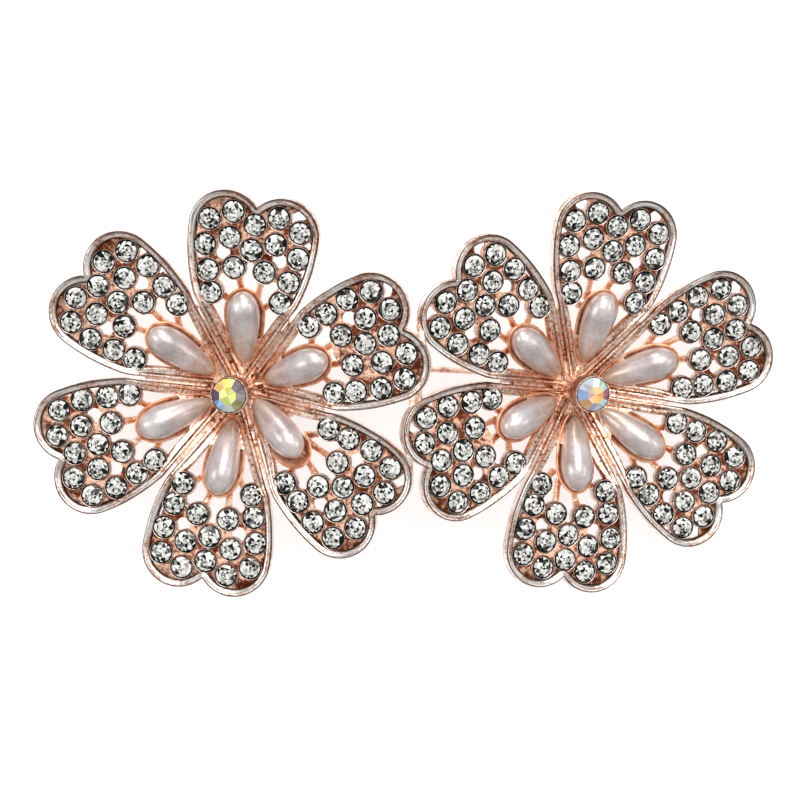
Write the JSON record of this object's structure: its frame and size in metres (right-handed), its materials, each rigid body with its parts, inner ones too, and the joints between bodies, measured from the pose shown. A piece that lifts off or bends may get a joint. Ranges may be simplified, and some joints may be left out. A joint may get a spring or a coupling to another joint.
{
  "type": "cluster brooch",
  "caption": "Double-flower cluster brooch in rose-gold-plated metal with clear round stones, drop pearls, raised centre stones and a plain pin at the back.",
  "frame": {"origin": "middle of the bounding box at the surface that the brooch lies on, under the pin's feet", "axes": "+X from the left flower to the right one, +Y up the brooch as it is worn, +Z away from the cloth"},
  "size_m": [0.0862, 0.0466, 0.0162],
  "materials": {
    "rose_gold": "rose-gold plating on cast zinc alloy",
    "clear_stone": "faceted, foiled at the back",
    "pearl": "imitation pearl",
    "aurora_stone": "faceted, with an iridescent coating"
  },
  "bodies": {
    "root": {"frame": "rose_gold", "stones_left": "clear_stone", "stones_right": "clear_stone", "pearl_left_1": "pearl", "pearl_left_2": "pearl", "pearl_left_3": "pearl", "pearl_left_4": "pearl", "pearl_left_5": "pearl", "pearl_left_6": "pearl", "pearl_right_1": "pearl", "pearl_right_2": "pearl", "pearl_right_3": "pearl", "pearl_right_4": "pearl", "pearl_right_5": "pearl", "pearl_right_6": "pearl", "centre_left": "aurora_stone", "centre_right": "aurora_stone", "pin_back": "rose_gold"}
  },
  "joints": []
}
